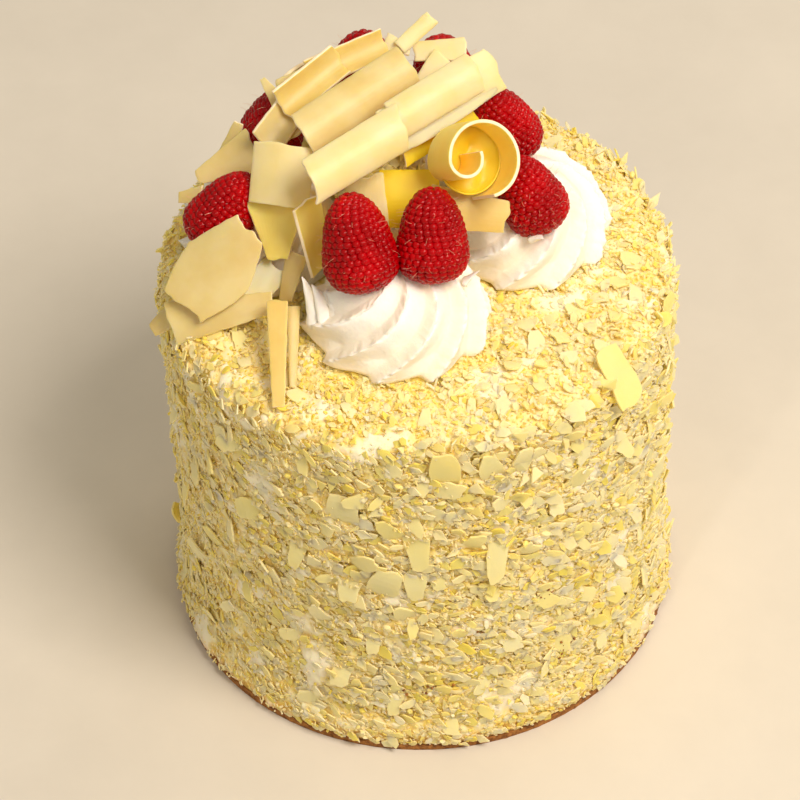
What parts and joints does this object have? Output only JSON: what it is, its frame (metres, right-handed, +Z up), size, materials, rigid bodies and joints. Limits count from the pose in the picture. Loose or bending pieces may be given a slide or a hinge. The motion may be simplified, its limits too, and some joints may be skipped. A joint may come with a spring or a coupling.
{
  "type": "white chocolate cake",
  "caption": "Tall round layer cake coated in flaked white chocolate, topped with piped cream rosettes, red berries and a heap of chocolate curls.",
  "frame": {"origin": "middle of the cake's foot, on the surface it stands on", "axes": "+Z up, -Y to the front of the cake, +X to the right seen from the front"},
  "size_m": [0.1551, 0.1538, 0.1871],
  "materials": {
    "flaked_coating": "rough coat of small white chocolate flakes pressed into cream",
    "white_chocolate": "satin, smooth, slightly translucent white chocolate",
    "whipped_cream": "soft matt whipped cream",
    "berry_skin": "moist red berry skin with fine hairs",
    "baked_base": "dry brown baked crumb"
  },
  "bodies": {
    "root": {"back_curl": "white_chocolate", "back_shard": "white_chocolate", "back_sheet_left": "white_chocolate", "back_sheet_right": "white_chocolate", "baked_base": "baked_base", "berry_back_left": "berry_skin", "berry_back_right": "berry_skin", "berry_front_left": "berry_skin", "berry_front_right": "berry_skin", "berry_left_back": "berry_skin", "berry_left_front": "berry_skin", "berry_right_back": "berry_skin", "berry_right_front": "berry_skin", "coated_cake": "flaked_coating", "cream_rosette_back": "whipped_cream", "cream_rosette_front": "whipped_cream", "cream_rosette_left": "whipped_cream", "cream_rosette_right": "whipped_cream", "curl_back_left": "white_chocolate", "curl_behind": "white_chocolate", "curl_left": "white_chocolate", "curl_long_left": "white_chocolate", "curl_long_right": "white_chocolate", "curl_spiral": "white_chocolate", "curl_square": "white_chocolate", "curl_top": "white_chocolate", "right_shard": "white_chocolate", "shard_back_left": "white_chocolate", "shard_back_middle": "white_chocolate", "shard_far_left": "white_chocolate", "shard_left_low": "white_chocolate", "shard_left_tip": "white_chocolate", "shard_pale": "white_chocolate", "shard_pointed": "white_chocolate", "shard_small": "white_chocolate", "shard_top_right": "white_chocolate", "shaving_mound": "white_chocolate", "sheet_back_right": "white_chocolate", "sheet_between": "white_chocolate", "sheet_big_left": "white_chocolate", "sheet_deep": "white_chocolate", "sheet_left_back": "white_chocolate", "sheet_left_scoop": "white_chocolate", "sheet_low_left": "white_chocolate", "sheet_right": "white_chocolate", "sheet_standing": "white_chocolate", "sheet_under": "white_chocolate", "sheet_under_small": "white_chocolate", "strip_back": "white_chocolate", "strip_front_left": "white_chocolate", "strip_rim": "white_chocolate", "strip_rim_thin": "white_chocolate"}
  },
  "joints": []
}
